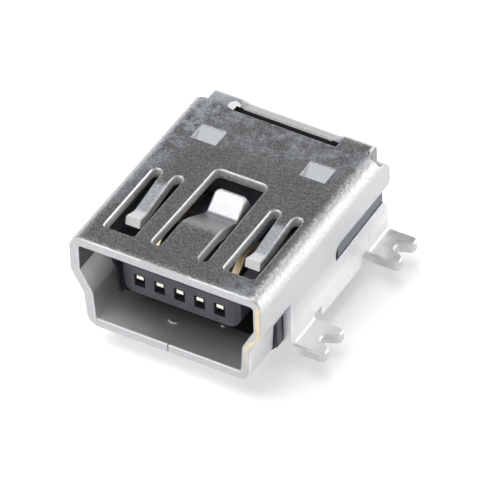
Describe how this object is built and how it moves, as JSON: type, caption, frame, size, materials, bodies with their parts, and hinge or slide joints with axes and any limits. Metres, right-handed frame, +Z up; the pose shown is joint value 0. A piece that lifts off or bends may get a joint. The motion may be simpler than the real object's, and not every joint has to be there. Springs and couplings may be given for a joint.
{
  "type": "charging port",
  "caption": "Surface-mount charging port: a folded sheet receptacle with sprung top fingers, forked solder legs, a moulded tongue and gilt contacts.",
  "frame": {"origin": "on the board's surface, midway between the two locating posts", "axes": "+Z up from the board, +Y into the mouth, so that the mouth faces -Y, and +X to the right when looking into the mouth"},
  "size_m": [0.0102, 0.0098, 0.0047],
  "materials": {
    "tin_plate": "matt tin plate over stamped steel",
    "black_plastic": "fine moulded grain",
    "gilt_contacts": "thin gilt plating, smooth"
  },
  "bodies": {
    "root": {"metal_shell": "tin_plate", "contact_housing": "black_plastic", "spring_contact_1": "gilt_contacts", "spring_contact_2": "gilt_contacts", "spring_contact_3": "gilt_contacts", "spring_contact_4": "gilt_contacts", "spring_contact_5": "gilt_contacts"}
  },
  "joints": []
}
